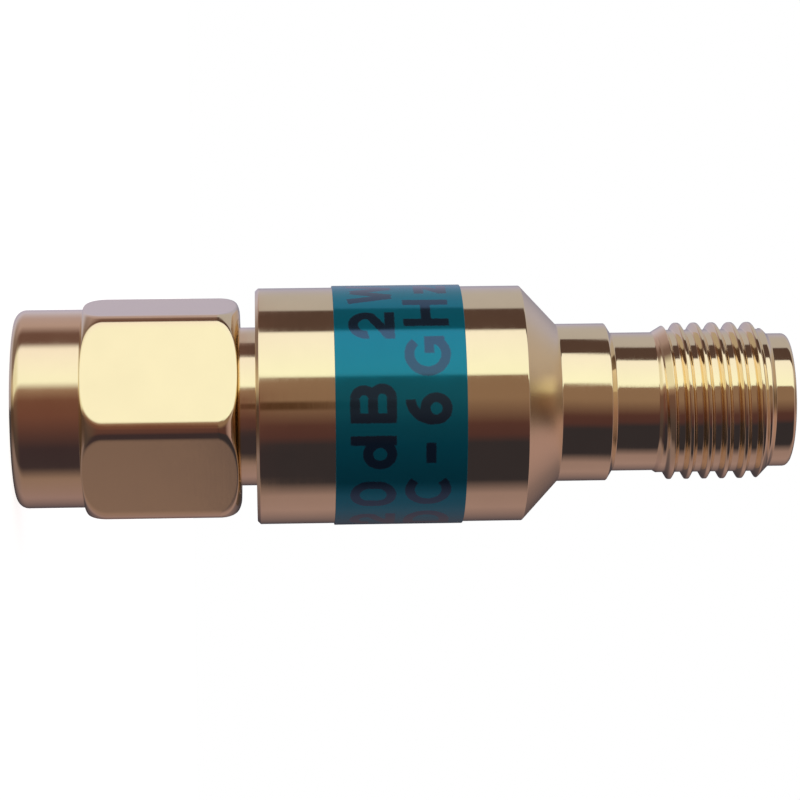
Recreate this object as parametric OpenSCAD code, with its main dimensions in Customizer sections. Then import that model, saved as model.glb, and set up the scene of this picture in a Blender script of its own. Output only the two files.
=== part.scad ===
// Fixed coaxial attenuator: a plug with a captive hex coupling nut at one end, a screw jack at the other.
// The axis is Z. The rim of the nut stands on z = 0 and the jack points up.

/* [Coupling nut] */
// Length of the nut
nut_len = 8.75; // [8.4:0.05:10]
// Hexagon, across its flats
hex_af = 8; // [7.9:0.05:9]
// How far the corners of the hexagon are turned down
corner_trim = 0.12; // [0.05:0.01:0.2]
// Turn of the hexagon about the axis, in degrees
hex_turn = 41.2; // [0:0.1:60]
// Step from the flats in to the round barrel
barrel_step = 0.125; // [0.05:0.005:0.2]
// Length of the round barrel behind the rim
barrel_len = 2.65; // [2:0.05:3.4]
// Rounding of the rim
rim_round = 0.45; // [0.2:0.05:0.5]
// Length over which the front corners of the hexagon are eased
front_ease = 0.9; // [0.5:0.05:1.2]
// Length over which the back corners of the hexagon are eased
rear_ease = 0.85; // [0.5:0.05:1.2]
// How far the easing at the back runs in from the corners
rear_drop = 0.9; // [0.6:0.05:1]
// Chamfer at the back of the bore
rear_chamfer = 0.15; // [0.05:0.05:0.25]

/* [Coupling thread] */
// Outside diameter of the jack's thread
thread_d = 6.2; // [6.1:0.01:6.3]
// Pitch, 36 turns to the inch
thread_pitch = 0.7056; // [0.62:0.0001:0.78]
// Width of a crest
thread_crest = 0.28; // [0.16:0.01:0.34]
// Width of a root
thread_root = 0.06; // [0.03:0.01:0.1]
// Length of the thread
thread_len = 3.46; // [2.9:0.02:4.5]
// Radial slack between the nut's thread and a jack's
thread_slack = 0.06; // [0.03:0.01:0.1]

/* [Main shell] */
// Diameter of the main cylinder
body_d = 9.25; // [8.9:0.05:11]
// Length of the main cylinder
body_len = 10.35; // [9.6:0.05:16]
// Wall round the cavity
shell_wall = 1.02; // [0.85:0.01:1.2]
// Chamfer at the plug end
end_chamfer = 0.12; // [0.05:0.01:0.4]
// Gap between the nut and the shell
nut_gap = 0.6; // [0.3:0.05:1]
// Angle of the shoulder cone to the axis, in degrees
cone_angle = 47; // [38:1:55]

/* [Label] */
// Distance of the label from the plug end of the shell
label_inset = 3; // [2:0.05:4]
// Width of the label
label_w = 5; // [3:0.05:6]
// Thickness of the film
label_t = 0.06; // [0.04:0.01:0.1]
// Gap between the ends of the film, at the back
label_seam = 0.4; // [0.2:0.1:1]

/* [Jack] */
// Diameter of the collar
collar_d = 6.2; // [6:0.05:6.6]
// Length of the collar
collar_len = 1.93; // [1.4:0.01:2.6]
// Length of the ramp from the collar down to the relief
collar_ramp = 0.23; // [0.1:0.01:0.4]
// Diameter of the relief behind the thread
relief_d = 5.45; // [5.2:0.05:5.7]
// Length of the relief
relief_len = 1.64; // [1.2:0.02:2.4]
// Length of the ramp from the relief up to the thread
thread_ramp = 0.63; // [0.4:0.01:0.8]
// Length of the chamfer in front of the thread
front_ramp = 0.47; // [0.3:0.01:0.6]
// Diameter of the nose
nose_d = 5.25; // [5.1:0.05:5.4]
// Length of the nose
nose_len = 0.81; // [0.6:0.01:1.2]
// Rounding of the nose
nose_round = 0.2; // [0.05:0.01:0.22]
// Depth of the mouth, down to the reference plane
mouth_len = 1.95; // [1.8:0.01:2.1]

/* [Plug] */
// Diameter of the neck that carries the nut
neck_d = 6.2; // [6.1:0.05:6.4]
// Depth of the plug's reference plane behind the rim of the nut
plug_setback = 2.9; // [2.7:0.05:3.2]
// Length of the ferrule in front of the neck
ferrule_len = 2.6; // [2.3:0.05:2.9]
// Wall of the ferrule
ferrule_wall = 0.23; // [0.18:0.01:0.28]
// Chamfer at the ends of the ferrule and the neck
plug_chamfer = 0.1; // [0.05:0.01:0.15]
// Length of the tail inside the main shell
tail_len = 2.95; // [2.4:0.05:3.4]
// Thickness of the gasket
gasket_t = 0.7; // [0.5:0.05:0.9]
// Outside diameter of the gasket
gasket_d = 5.5; // [5.2:0.05:5.55]
// Rounding of the gasket's edges
gasket_round = 0.15; // [0.05:0.01:0.2]

/* [Snap ring] */
// Thickness of the ring along the axis
ring_t = 0.5; // [0.4:0.02:0.7]
// Depth of its groove in the neck
neck_groove = 0.45; // [0.35:0.01:0.5]
// Depth of its groove in the nut
nut_groove = 0.4; // [0.3:0.01:0.45]
// Distance of its groove behind the front of the neck
ring_back = 1.6; // [1.2:0.05:1.8]
// Gap in the ring, in degrees
ring_gap = 35; // [20:1:60]

/* [Coaxial line] */
// Diameter of the insulators
insulator_d = 4.1; // [4:0.01:4.2]
// Diameter of the flange that holds each inner insulator
flange_d = 4.9; // [4.7:0.02:5]
// Length of that flange
flange_len = 1.9; // [1.5:0.05:2.2]
// Length of the plug's front insulator
plug_insulator_len = 4.2; // [3.8:0.05:4.8]
// Length of the jack's front insulator
jack_insulator_len = 5; // [4.4:0.05:5.6]
// Diameter of the centre conductors
line_d = 1.27; // [1.2:0.01:1.4]
// Diameter of the collar that traps each centre conductor
stop_d = 1.9; // [1.6:0.05:2.3]
// Length of that collar
stop_len = 0.6; // [0.4:0.05:0.9]
// Diameter of the plug's pin
pin_d = 0.914; // [0.88:0.002:0.95]
// Reach of the pin in front of the reference plane
pin_reach = 2.35; // [2.1:0.05:2.6]
// Length of the pin's tapered tip
tip_len = 0.35; // [0.2:0.01:0.5]
// Diameter of the flat at the end of the tip
tip_d = 0.4; // [0.3:0.02:0.6]
// Depth of the bore in the socket
socket_len = 2.6; // [2.2:0.05:3]
// Width of the slots in the socket
slot_w = 0.1; // [0.06:0.01:0.14]
// Length of the slots in the socket
slot_len = 2.1; // [1.6:0.05:2.2]
// Depth of the socket's face below the reference plane
socket_recess = 0.08; // [0.02:0.01:0.15]

/* [Attenuator element] */
// Diameter of the air channel through the carriers
air_d = 2.92; // [2.6:0.02:3.2]
// Width of the chip across the axis
chip_w = 5; // [4.4:0.05:5.4]
// Thickness of the chip
chip_t = 0.64; // [0.5:0.02:0.8]
// Length of the chip along the axis
chip_len = 3.6; // [3:0.05:4.4]
// Thickness of the printed film on the chip
film_t = 0.02; // [0.01:0.005:0.04]
// Length of the film's pad under each tongue
pad_len = 0.8; // [0.6:0.05:1]
// Width of the film's pads
pad_w = 1.2; // [0.9:0.05:1.6]
// Thickness of the shims that earth the chip's edges
shim_t = 0.1; // [0.06:0.01:0.15]
// Width of the shims
shim_w = 0.9; // [0.6:0.05:1]
// Thickness of the tongue at the end of each centre conductor
tongue_t = 0.4; // [0.3:0.02:0.5]
// Gap between the round part of a centre conductor and the chip
chip_gap = 0.25; // [0.15:0.05:0.5]

/* [Fits] */
// Radial gap of fixed pieces in their bores
fit = 0.01; // [0.005:0.005:0.02]
// Radial running gap of the nut on the neck
run_gap = 0.05; // [0.02:0.01:0.08]
// Radial gap of the snap ring in its grooves
ring_play = 0.05; // [0.03:0.01:0.08]
// Gap along the axis at each side of the snap ring
ring_side = 0.03; // [0.02:0.01:0.06]
// Radial gap of a ferrule in the jack's mouth
mouth_gap = 0.02; // [0.01:0.005:0.04]
// Radial gap of a pin in the socket
contact_gap = 0.008; // [0.005:0.001:0.02]

/* [Hidden] */
$fn = 96;
ARC_STEPS = 6;
OVER = 1;
THREAD_FLANK = 30;

// Radii of the nut
hex_r = hex_af / 2 / cos(30);
corner_r = hex_r - corner_trim;
barrel_r = hex_af / 2 - barrel_step;
nut_thread_depth = (thread_pitch - thread_crest - thread_root) / 2 / tan(THREAD_FLANK);
nut_mouth_r = thread_d / 2 + thread_slack;
nut_thread_r = nut_mouth_r - nut_thread_depth;
neck_r = neck_d / 2;
nut_bore_r = neck_r + run_gap;

// Radii of the shell and the coaxial line
body_r = body_d / 2;
cavity_r = body_r - shell_wall;
line_r = line_d / 2;
line_bore_r = line_r + fit;
insulator_r = insulator_d / 2;
insulator_bore_r = insulator_r + fit;
flange_r = flange_d / 2;
flange_bore_r = flange_r + fit;
stop_r = stop_d / 2;
ferrule_r = insulator_bore_r + ferrule_wall;
mouth_r = ferrule_r + mouth_gap;
pin_r = pin_d / 2;
socket_r = pin_r + contact_gap;
thread_r = thread_d / 2;

// Stations along the axis, from the rim of the nut to the end of the jack
z_tip = plug_setback - pin_reach;
z_neck = plug_setback + ferrule_len;
z_counterbore = z_neck - gasket_t - 2 * ring_side;
z_ring = z_neck + ring_back;
z_shell = nut_len + nut_gap;
z_tail = z_shell + tail_len;
z_shoulder = z_shell + body_len;
z_collar = z_shoulder + (body_r - collar_d / 2) / tan(cone_angle);
z_collar_end = z_collar + collar_len;
z_relief = z_collar_end + collar_ramp;
z_relief_end = z_relief + relief_len;
z_thread = z_relief_end + thread_ramp;
z_thread_end = z_thread + thread_len;
z_nose = z_thread_end + front_ramp;
z_top = z_nose + nose_len;
z_jack_plane = z_top - mouth_len;
z_plug_stop = plug_setback + plug_insulator_len;
z_plug_flange = z_tail - flange_len;
z_jack_stop = z_jack_plane - jack_insulator_len;
z_jack_flange = z_shoulder + flange_len;
z_chip = (z_tail + z_shoulder) / 2 - chip_len / 2;
z_chip_end = z_chip + chip_len;

// Heights of the chip's layers across the axis
y_chip = -shim_t;
y_chip_floor = y_chip - chip_t;
y_film = y_chip + film_t;

GOLD = "#cdb084";
PALE_GOLD = "#d8bd92";
CONTACT_GOLD = "#d9a441";
WHITE_PTFE = "#f2f0ea";
RED_RUBBER = "#b8432f";
TEAL_FILM = "#0a5a66";
SPRING_STEEL = "#9a8f80";
CERAMIC = "#e9e4d8";
SILVER = "#c8c8c6";

// Points of an elliptical arc about a centre, from one angle to another
function arc(centre, rx, ry, from, to) = [
    for (i = [0:ARC_STEPS])
        let (a = from + (to - from) * i / ARC_STEPS)
            centre + [rx * cos(a), ry * sin(a)]
];

// A tube between two stations
module tube(inner_r, outer_r, z_from, z_to) {
    rotate_extrude()
        translate([inner_r, z_from])
            square([outer_r - inner_r, z_to - z_from]);
}

// Everything on one side of the plane through the axis, up or down in Y
module half_space(side) {
    reach = body_d;
    translate([-reach, side > 0 ? 0 : -reach, -reach])
        cube([2 * reach, reach, z_top + 2 * reach]);
}

// A block centred on the axis in X, with its Y and Z limits
module block(width, y_from, y_to, z_from, z_to) {
    translate([-width / 2, y_from, z_from])
        cube([width, y_to - y_from, z_to - z_from]);
}

// The nut turned from hexagon bar: round barrel, eased corners, threaded mouth and bore for the neck
module coupling_nut() {
    rise = corner_r - barrel_r;
    outline = concat(
        [[0, 0]],
        arc([barrel_r - rim_round, rim_round], rim_round, rim_round, -90, 0),
        arc([barrel_r, barrel_len + front_ease], rise, front_ease, -90, 0),
        arc([corner_r - rear_drop, nut_len - rear_ease], rear_drop, rear_ease, 0, 90),
        [[0, nut_len]]
    );
    mouth = nut_mouth_r - nut_thread_r;
    ring_seat_r = nut_bore_r + nut_groove;
    bore = [
        [0, -OVER], [nut_mouth_r, -OVER], [nut_mouth_r, 0], [nut_thread_r, mouth],
        [nut_thread_r, z_counterbore], [nut_bore_r, z_counterbore],
        [nut_bore_r, z_ring - ring_side], [ring_seat_r, z_ring - ring_side],
        [ring_seat_r, z_ring + ring_t + ring_side], [nut_bore_r, z_ring + ring_t + ring_side],
        [nut_bore_r, nut_len - rear_chamfer], [nut_bore_r + rear_chamfer + OVER, nut_len + OVER],
        [0, nut_len + OVER]
    ];
    color(GOLD)
        difference() {
            intersection() {
                rotate_extrude() polygon(outline);
                rotate([0, 0, hex_turn]) cylinder(r = hex_r, h = nut_len, $fn = 6);
            }
            rotate_extrude() polygon(bore);
        }
}

// The split ring that holds the nut on the neck
module snap_ring() {
    inner_r = neck_r - neck_groove + ring_play;
    outer_r = nut_bore_r + nut_groove - ring_play;
    color(SPRING_STEEL)
        rotate([0, 0, ring_gap / 2])
            rotate_extrude(angle = 360 - ring_gap)
                translate([inner_r, z_ring])
                    square([outer_r - inner_r, ring_t]);
}

// The soft ring round the ferrule that the rim of a mating jack presses on
module gasket() {
    inner_r = ferrule_r + fit;
    outer_r = gasket_d / 2;
    low = z_neck - gasket_t;
    section = concat(
        arc([inner_r + gasket_round, low + gasket_round], gasket_round, gasket_round, 180, 270),
        arc([outer_r - gasket_round, low + gasket_round], gasket_round, gasket_round, 270, 360),
        [[outer_r, z_neck], [inner_r, z_neck]]
    );
    color(RED_RUBBER)
        rotate_extrude() polygon(section);
}

// The plug's outer conductor: ferrule, neck with the ring groove, and the tail that closes the shell
module plug_shell() {
    groove_r = neck_r - neck_groove;
    tail_r = cavity_r - fit;
    section = [
        [insulator_bore_r, plug_setback], [ferrule_r - plug_chamfer, plug_setback],
        [ferrule_r, plug_setback + plug_chamfer], [ferrule_r, z_neck],
        [neck_r - plug_chamfer, z_neck], [neck_r, z_neck + plug_chamfer],
        [neck_r, z_ring - ring_side], [groove_r, z_ring - ring_side],
        [groove_r, z_ring + ring_t + ring_side], [neck_r, z_ring + ring_t + ring_side],
        [neck_r, z_shell], [tail_r, z_shell], [tail_r, z_tail], [flange_bore_r, z_tail],
        [flange_bore_r, z_plug_flange], [insulator_bore_r, z_plug_flange]
    ];
    color(PALE_GOLD)
        rotate_extrude() polygon(section);
}

// An outer insulator, from its face at the reference plane back to the collar that it traps
module front_insulator(z_face, z_back) {
    z_seat = z_back + sign(z_face - z_back) * stop_len;
    color(WHITE_PTFE)
        rotate_extrude()
            polygon([
                [line_bore_r, z_face], [insulator_r, z_face], [insulator_r, z_back],
                [stop_r + fit, z_back], [stop_r + fit, z_seat], [line_bore_r, z_seat]
            ]);
}

// An inner insulator, from the collar in to the carriers, with its holding flange
module rear_insulator(z_face, z_step, z_back) {
    color(WHITE_PTFE)
        rotate_extrude()
            polygon([
                [line_bore_r, z_face], [insulator_r, z_face], [insulator_r, z_step],
                [flange_r, z_step], [flange_r, z_back], [line_bore_r, z_back]
            ]);
}

module plug_front_insulator() {
    front_insulator(plug_setback, z_plug_stop);
}

module plug_rear_insulator() {
    rear_insulator(z_plug_stop, z_plug_flange, z_tail);
}

module jack_front_insulator() {
    front_insulator(z_jack_plane, z_jack_stop);
}

module jack_rear_insulator() {
    rear_insulator(z_jack_stop, z_jack_flange, z_shoulder);
}

// The flat tongue that a centre conductor lays on the chip
module tongue(z_from, z_to) {
    intersection() {
        tube(0, line_r, z_from, z_to);
        block(line_d, y_film, y_film + tongue_t, z_from, z_to);
    }
}

// The plug's centre contact: tapered pin, trapped collar and tongue
module plug_pin() {
    z_round = z_chip - chip_gap;
    section = [
        [0, z_tip], [tip_d / 2, z_tip], [pin_r, z_tip + tip_len], [pin_r, plug_setback],
        [line_r, plug_setback], [line_r, z_plug_stop - stop_len], [stop_r, z_plug_stop - stop_len],
        [stop_r, z_plug_stop], [line_r, z_plug_stop], [line_r, z_round], [0, z_round]
    ];
    color(CONTACT_GOLD)
        union() {
            rotate_extrude() polygon(section);
            tongue(z_round, z_chip + pad_len);
        }
}

// The outer shell with the jack turned on its end: cylinder, cone, collar, relief, thread and nose
module main_shell() {
    section = concat(
        [
            [cavity_r, z_shell], [body_r - end_chamfer, z_shell], [body_r, z_shell + end_chamfer],
            [body_r, z_shoulder], [collar_d / 2, z_collar], [collar_d / 2, z_collar_end],
            [relief_d / 2, z_relief], [relief_d / 2, z_relief_end], [thread_r, z_thread],
            [thread_r, z_thread_end], [nose_d / 2, z_nose]
        ],
        arc([nose_d / 2 - nose_round, z_top - nose_round], nose_round, nose_round, 0, 90),
        [
            [mouth_r, z_top], [mouth_r, z_jack_plane], [insulator_bore_r, z_jack_plane],
            [insulator_bore_r, z_jack_flange], [flange_bore_r, z_jack_flange],
            [flange_bore_r, z_shoulder], [cavity_r, z_shoulder]
        ]
    );
    color(GOLD)
        rotate_extrude()
            difference() {
                polygon(section);
                thread_grooves();
            }
}

// Half sections of the grooves between the crests of the thread, one a pitch
module thread_grooves() {
    groove_w = thread_pitch - thread_crest;
    root_r = thread_r - nut_thread_depth;
    flare = OVER * tan(THREAD_FLANK);
    for (i = [0:ceil(thread_len / thread_pitch) - 1])
        translate([0, z_thread + thread_crest + i * thread_pitch])
            polygon([
                [thread_r + OVER, -flare], [root_r, (groove_w - thread_root) / 2],
                [root_r, (groove_w + thread_root) / 2], [thread_r + OVER, groove_w + flare]
            ]);
}

// The printed film wrapped round the cylinder, with its ends at the back
module label_band() {
    seam_angle = label_seam / body_r * 180 / PI;
    color(TEAL_FILM)
        rotate([0, 0, 90 + seam_angle / 2])
            rotate_extrude(angle = 360 - seam_angle)
                translate([body_r + fit, z_shell + label_inset])
                    square([label_t, label_w]);
}

// The jack's centre contact: a slotted socket, the trapped collar and a tongue
module jack_socket() {
    z_face = z_jack_plane - socket_recess;
    z_round = z_chip_end + chip_gap;
    lead_in = (line_r - socket_r) / 2;
    section = [
        [0, z_round], [line_r, z_round], [line_r, z_jack_stop], [stop_r, z_jack_stop],
        [stop_r, z_jack_stop + stop_len], [line_r, z_jack_stop + stop_len], [line_r, z_face],
        [socket_r + lead_in, z_face], [socket_r, z_face - lead_in], [socket_r, z_face - socket_len],
        [0, z_face - socket_len]
    ];
    color(CONTACT_GOLD)
        difference() {
            union() {
                rotate_extrude() polygon(section);
                tongue(z_chip_end - pad_len, z_round);
            }
            for (turn = [0, 90])
                rotate([0, 0, turn])
                    block(slot_w, -line_d, line_d, z_face - slot_len, z_face + OVER);
        }
}

// One half of the split block that holds the chip and carries its heat to the shell
module carrier_half(side) {
    intersection() {
        tube(air_d / 2, cavity_r - fit, z_tail, z_shoulder);
        half_space(side);
    }
}

module carrier_lower() {
    color(PALE_GOLD)
        difference() {
            carrier_half(-1);
            block(chip_w + 2 * fit, y_chip_floor, OVER, z_chip - fit, z_chip_end + fit);
        }
}

module carrier_upper() {
    color(PALE_GOLD)
        carrier_half(1);
}

// The ceramic chip with its printed film: a pad at each end, the series strip and two shunt legs
module attenuator_chip() {
    z_middle = (z_chip + z_chip_end) / 2;
    strip_w = pad_w / 2;
    leg_w = pad_len / 2;
    leg_reach = chip_w - 2 * shim_w - 4 * fit;
    color(CERAMIC)
        union() {
            block(chip_w, y_chip_floor, y_chip, z_chip, z_chip_end);
            block(pad_w, y_chip, y_film, z_chip, z_chip + pad_len);
            block(pad_w, y_chip, y_film, z_chip_end - pad_len, z_chip_end);
            block(strip_w, y_chip, y_film, z_chip + pad_len, z_chip_end - pad_len);
            block(leg_reach, y_chip, y_film, z_middle - leg_w / 2, z_middle + leg_w / 2);
        }
}

// A thin shim between one edge of the chip and the upper carrier
module earth_shim(side) {
    color(SILVER)
        translate([side * (chip_w - shim_w) / 2, 0, 0])
            block(shim_w, y_chip, 0, z_chip, z_chip_end);
}

module earth_shim_left() {
    earth_shim(-1);
}

module earth_shim_right() {
    earth_shim(1);
}

coupling_nut();
snap_ring();
gasket();
plug_shell();
plug_front_insulator();
plug_rear_insulator();
plug_pin();
main_shell();
label_band();
jack_front_insulator();
jack_rear_insulator();
jack_socket();
carrier_lower();
carrier_upper();
attenuator_chip();
earth_shim_left();
earth_shim_right();
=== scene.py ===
"""Looks of a fixed coaxial attenuator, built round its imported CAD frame.

The part stands on the rim of its coupling nut with its axis on Z, plug end down and jack end up. Lengths are
in metres, with sizes written in millimetres, and turns about the axis start at X and run towards Y.
"""

import bpy
import numpy as np
from bpy.props import FloatProperty, FloatVectorProperty, PointerProperty, StringProperty
from mathutils import Matrix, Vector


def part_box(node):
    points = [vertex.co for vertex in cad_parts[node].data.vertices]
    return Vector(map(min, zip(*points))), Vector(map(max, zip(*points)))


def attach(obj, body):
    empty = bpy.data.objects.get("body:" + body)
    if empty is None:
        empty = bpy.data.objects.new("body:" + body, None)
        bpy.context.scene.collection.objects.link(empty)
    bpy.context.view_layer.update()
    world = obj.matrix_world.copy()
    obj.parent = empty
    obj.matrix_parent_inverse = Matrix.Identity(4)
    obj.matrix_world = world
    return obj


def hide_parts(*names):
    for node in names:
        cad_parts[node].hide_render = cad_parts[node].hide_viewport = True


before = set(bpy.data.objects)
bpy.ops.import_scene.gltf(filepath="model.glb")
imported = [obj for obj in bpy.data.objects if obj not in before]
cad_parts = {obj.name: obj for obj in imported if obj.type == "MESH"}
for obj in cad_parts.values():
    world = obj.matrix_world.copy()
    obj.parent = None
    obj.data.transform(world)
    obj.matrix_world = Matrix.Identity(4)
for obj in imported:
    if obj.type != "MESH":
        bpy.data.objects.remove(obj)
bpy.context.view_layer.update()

bl_info = {
    "name": "Coaxial attenuator",
    "version": (1, 0, 0),
    "blender": (4, 5, 0),
    "location": "View3D > Sidebar > Attenuator",
    "description": "Builds the turned pieces, the label and the stage of a fixed coaxial attenuator",
    "category": "Object",
}

MM = 0.001
MICRON = 1e-6
ATTENUATOR = "attenuator"
NUT = "nut"

nut_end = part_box("coupling_nut")[1].z
jack_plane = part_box("jack_front_insulator")[1].z
shell_low, shell_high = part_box("main_shell")
plug_low, plug_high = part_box("plug_shell")
label_low, label_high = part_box("label_band")
gasket_low, gasket_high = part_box("gasket")
ring_low, ring_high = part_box("snap_ring")


def size(name, description, length):
    """A length in millimetres that can be set in the sidebar"""
    return FloatProperty(name=name, description=description, default=length * MM, unit="LENGTH", precision=6)


def turn(name, description, degrees):
    """An angle that can be set in the sidebar"""
    return FloatProperty(name=name, description=description, default=np.radians(degrees), subtype="ANGLE")


def share(name, description, default):
    """A number from nought to one that can be set in the sidebar"""
    return FloatProperty(name=name, description=description, default=default, min=0, max=1, subtype="FACTOR")


def colour(name, description, default):
    """A colour that can be set in the sidebar"""
    return FloatVectorProperty(
        name=name, description=description, default=default, min=0, max=1, subtype="COLOR")


class NutSizes(bpy.types.PropertyGroup):
    """Sizes of the coupling nut"""

    length: size("Length", "From the rim to the back", nut_end / MM)
    flats: size("Across flats", "Width of the hexagon", 8.0)
    corner: size("Corner radius", "Radius of the turned corners", 4.4988)
    hex_turn: turn("Hexagon turn", "Turn of one corner from X", 41.2)
    barrel: size("Barrel radius", "Radius behind the rim", 3.875)
    barrel_end: size("Barrel length", "Length of the round barrel", 2.65)
    rim_round: size("Rim rounding", "Rounding of the rim", 0.45)
    front_ease: size("Front easing", "Length of the front corners' easing", 0.9)
    rear_ease: size("Rear easing", "Length of the back corners' easing", 0.85)
    rear_drop: size("Rear drop", "How far the easing at the back runs in", 0.9)
    edge_round: size("Edge softness", "Softness of the hexagon's edges", 0.09)
    bore: size("Bore radius", "Bore that runs on the neck", 3.15)
    chamfer: size("Chamfer", "Chamfer at the back of the bore", 0.15)
    counterbore: size("Counterbore", "Height where the bore begins", 4.74)
    groove: size("Groove radius", "Bottom of the snap ring's groove", 3.55)
    groove_side: size("Groove side", "Room at each side of the snap ring", 0.03)


class ThreadSizes(bpy.types.PropertyGroup):
    """Sizes of the coupling thread"""

    pitch: size("Pitch", "Advance in one turn", 0.7056)
    radius: size("Radius", "Radius over the jack's crests", 3.1)
    crest: size("Crest", "Width of a crest", 0.12)
    flank: turn("Flank", "Lean of a flank", 30)
    depth: size("Depth", "From crest to root of the jack's thread", 0.29)
    nut_depth: size("Nut depth", "From crest to root of the nut's thread", 0.3166)
    slack: size("Slack", "Radial room between nut and jack", 0.06)
    softness: size("Softness", "Softness of the crests' edges", 0.03)
    blend: size("Blend", "Softness where the jack's thread runs out", 0.04)
    lead_in: size("Lead-in", "From the thread's start to its first crest, at -X", 0.38)
    nut_relief: size("Nut relief", "From the nut's step to its thread", 0.3)
    nut_run_out: size("Nut run-out", "Length of the nut thread's rise", 0.4)


class ShellSizes(bpy.types.PropertyGroup):
    """Sizes of the main shell"""

    radius: size("Radius", "Radius of the main cylinder", 4.625)
    chamfer: size("Chamfer", "Chamfer at the plug end", 0.12)
    shoulder: size("Shoulder", "Height where the cone begins", 19.7)
    collar: size("Collar radius", "Radius of the collar", 3.1)
    collar_start: size("Collar start", "Height where the collar begins", 21.122)
    collar_end: size("Collar end", "Height where the collar ends", 23.052)
    relief: size("Relief radius", "Radius of the relief behind the thread", 2.725)
    relief_start: size("Relief start", "Height where the relief begins", 23.282)
    relief_end: size("Relief end", "Height where the relief ends", 24.922)
    thread_start: size("Thread start", "Height where the full thread begins", 25.552)
    thread_end: size("Thread end", "Height where the full thread ends", 29.012)
    nose: size("Nose radius", "Radius of the nose", 2.625)
    nose_start: size("Nose start", "Height where the nose begins", 29.482)
    nose_round: size("Nose rounding", "Rounding of the nose's outer edge", 0.2)
    mouth: size("Mouth radius", "Bore that takes a mating ferrule", 2.31)
    bore: size("Bore radius", "Bore round the insulator", 2.06)
    flange_bore: size("Flange bore", "Bore round the insulator's flange", 2.46)
    flange_end: size("Flange end", "Height where the flange bore ends", 21.6)
    cavity: size("Cavity radius", "Bore round the carriers", 3.605)
    edge_round: size("Edge softness", "Rounding of the turned edges", 0.05)
    plug_round: size("Plug end softness", "Rounding of the edges at the plug end", 0.03)
    mouth_round: size("Mouth softness", "Rounding of the mouth's edge", 0.04)
    bore_round: size("Bore softness", "Rounding of the bore's edge", 0.02)


class PlugSizes(bpy.types.PropertyGroup):
    """Sizes of the plug's outer conductor and its gasket"""

    ferrule: size("Ferrule radius", "Radius of the ferrule", 2.29)
    neck: size("Neck radius", "Radius of the neck", 3.1)
    neck_start: size("Neck start", "Height where the neck begins", gasket_high.z / MM)
    groove: size("Groove radius", "Bottom of the snap ring's groove", 2.65)
    groove_side: size("Groove side", "Room at each side of the snap ring", 0.03)
    tail: size("Tail radius", "Radius of the tail inside the shell", plug_high.x / MM)
    bore: size("Bore radius", "Bore round the insulator", 2.06)
    flange_bore: size("Flange bore", "Bore round the insulator's flange", 2.46)
    flange_start: size("Flange start", "Height where the flange bore begins", 10.4)
    chamfer: size("Chamfer", "Chamfer in front of ferrule and neck", 0.1)
    edge_round: size("Edge softness", "Rounding of the turned edges", 0.02)
    gasket_round: size("Gasket rounding", "Rounding of the gasket's free edges", 0.15)
    gasket_gap: size("Gasket gap", "Room between the gasket and the ferrule", 0.01)


class LabelSizes(bpy.types.PropertyGroup):
    """Sizes and print of the label"""

    seam: size("Seam", "Gap between the film's ends, at the back", 0.4)
    film: size("Film thickness", "Thickness of the film", 0.06)
    edge_round: size("Edge rounding", "Rounding of the film's edges", 0.015)
    first_line: StringProperty(name="First line", description="Print next to the nut", default="20dB 2W")
    second_line: StringProperty(name="Second line", description="Print next to the jack", default="DC-6GHz")
    cap_height: size("Letter height", "Height of a capital", 1.74)
    stroke: share("Stroke", "Width of a stroke over the letter height", 0.215)
    spacing: share("Spacing", "Room between letters over the letter height", 0.3)
    first_base: size("First base line", "Height of the first base line", 14.65)
    second_base: size("Second base line", "Height of the second base line", 16.745)
    blur: size("Ink edge", "Width of the ink's fading edge", 0.05)
    wear: size("Ink wear", "How far the ink's edge wanders", 0.012)


class Finish(bpy.types.PropertyGroup):
    """Colours and gloss of the finishes"""

    plating: colour("Plating", "Pale gold plate", (0.95, 0.80, 0.55))
    plating_gloss: share("Plating roughness", "Roughness of the turned shell", 0.055)
    cone_gloss: share("Cone roughness", "Roughness of the shell's cone", 0.2)
    nut_gloss: share("Nut roughness", "Roughness of the handled nut", 0.09)
    contact: colour("Contacts", "Hard gold plate", (0.93, 0.66, 0.27))
    brass: colour("Brass", "Turned brass carriers", (0.78, 0.60, 0.33))
    bronze: colour("Bronze", "Bare spring bronze", (0.55, 0.34, 0.18))
    rubber: colour("Rubber", "Silicone gasket", (0.50, 0.07, 0.035))
    insulator: colour("Insulator", "Machined PTFE", (0.86, 0.85, 0.80))
    film: colour("Film", "Teal label film", (0.008, 0.265, 0.405))
    film_metal: share("Film backing", "How far the film's bright backing shows", 0.54)
    film_coat: share("Film coat", "Weight of the film's gloss", 0.4)
    ink: colour("Ink", "Print on the label", (0.042, 0.10, 0.185))
    ink_metal: share("Ink backing", "How far the bright backing shows under the print", 0.85)
    ceramic: colour("Ceramic", "Fired alumina", (0.82, 0.79, 0.70))
    foil: colour("Foil", "Silvered foil", (0.75, 0.75, 0.73))


class Stage(bpy.types.PropertyGroup):
    """Camera, floor and light"""

    lens: FloatProperty(name="Lens", description="Focal length in millimetres", default=125.7, unit="CAMERA")
    distance: size("Distance", "From the camera to the middle of the part", 110)
    aim: size("Aim", "Height at the middle of the picture", 15)
    rise: size("Rise", "How far the camera sits above the axis", 0.175)
    tilt: turn("Tilt", "Turn of the jack end away from the camera", 2.7)
    roll: turn("Roll", "Turn of the picture about its middle", 0.75)
    floor: size("Floor", "Half the width of the floor", 250)
    hair: size("Hair", "How far the floor lies below the rim", 0.02)
    glow: share("Floor glow", "How much light the floor gives off", 0.86)
    softbox: FloatProperty(name="Softbox", description="Brightness of the softbox", default=1.0, min=0)


# Shapes

# Longest steps along an outline: on turned pieces, on the gasket, under the print and along the jack's thread
TURNED_STEP = 0.8 * MM
GASKET_STEP = 0.2 * MM
PRINT_STEP = 0.06 * MM
THREAD_STEP = 0.0185 * MM

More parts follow.
